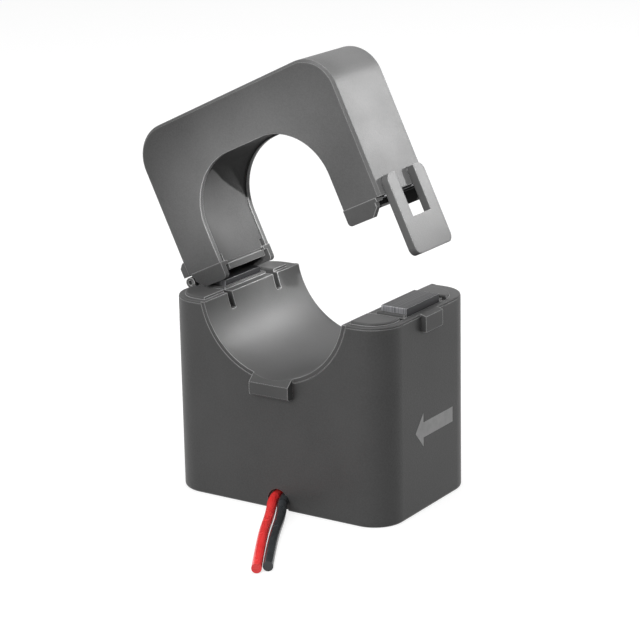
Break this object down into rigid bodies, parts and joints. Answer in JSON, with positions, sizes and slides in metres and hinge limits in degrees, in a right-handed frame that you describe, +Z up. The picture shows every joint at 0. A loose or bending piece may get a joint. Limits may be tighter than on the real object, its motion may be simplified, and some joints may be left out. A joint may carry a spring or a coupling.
{
  "type": "split-core current sensor",
  "caption": "Split-core current transformer with a cradle-shaped base, a hinged arch lid swung open, a spring latch clip and two loose leads.",
  "frame": {"origin": "centre of the flat foot under the base", "axes": "+Z up; +Y along the conductor opening, away from the side the leads leave; +X from the hinge towards the latch"},
  "size_m": [0.07, 0.072, 0.0979],
  "materials": {
    "housing": "fine matt moulded black-grey plastic",
    "housing_deck": "satin moulded dark grey plastic",
    "core_steel": "cut strip core, ground pole faces",
    "core_tape": "amber tape",
    "bobbin_nylon": "natural nylon",
    "winding_copper": "enamelled copper wire",
    "winding_tape": "yellow polyester tape",
    "pad_rubber": "soft black rubber",
    "tinned_pin": "tinned brass",
    "pin_steel": "bright drawn steel",
    "spring_steel": "blued spring strip",
    "lead_red": "soft PVC insulation",
    "lead_black": "soft PVC insulation"
  },
  "bodies": {
    "base": {"base_shell": "housing", "bore_saddle": "housing_deck", "base_core": "core_steel", "base_core_tape": "core_tape", "winding_bobbin": "bobbin_nylon", "secondary_winding": "winding_copper", "winding_tape": "winding_tape", "coil_rest_pads": "pad_rubber", "terminal_pin_red": "tinned_pin", "terminal_pin_black": "tinned_pin", "lead_clamp": "bobbin_nylon", "lead_red": "lead_red", "lead_black": "lead_black", "hinge_pin": "pin_steel"},
    "lid": {"lid_shell": "housing", "lid_liner": "housing_deck", "lid_core": "core_steel", "lid_core_tape": "core_tape", "core_leaf_spring": "spring_steel"},
    "latch": {"latch_clip": "housing"}
  },
  "joints": [
    {"name": "lid_hinge", "type": "hinge", "parent": "base", "child": "lid", "pos_m": [-0.028, 0, 0.04525], "axis": [0, -1, 0], "range_deg": [-25.4, 64.6]},
    {"name": "latch_flex", "type": "hinge", "parent": "lid", "child": "latch", "pos_m": [0.02081, 0, 0.07313], "axis": [0, -1, 0], "range_deg": [0, 10], "stiffness_Nm_per_rad": 0.1}
  ]
}
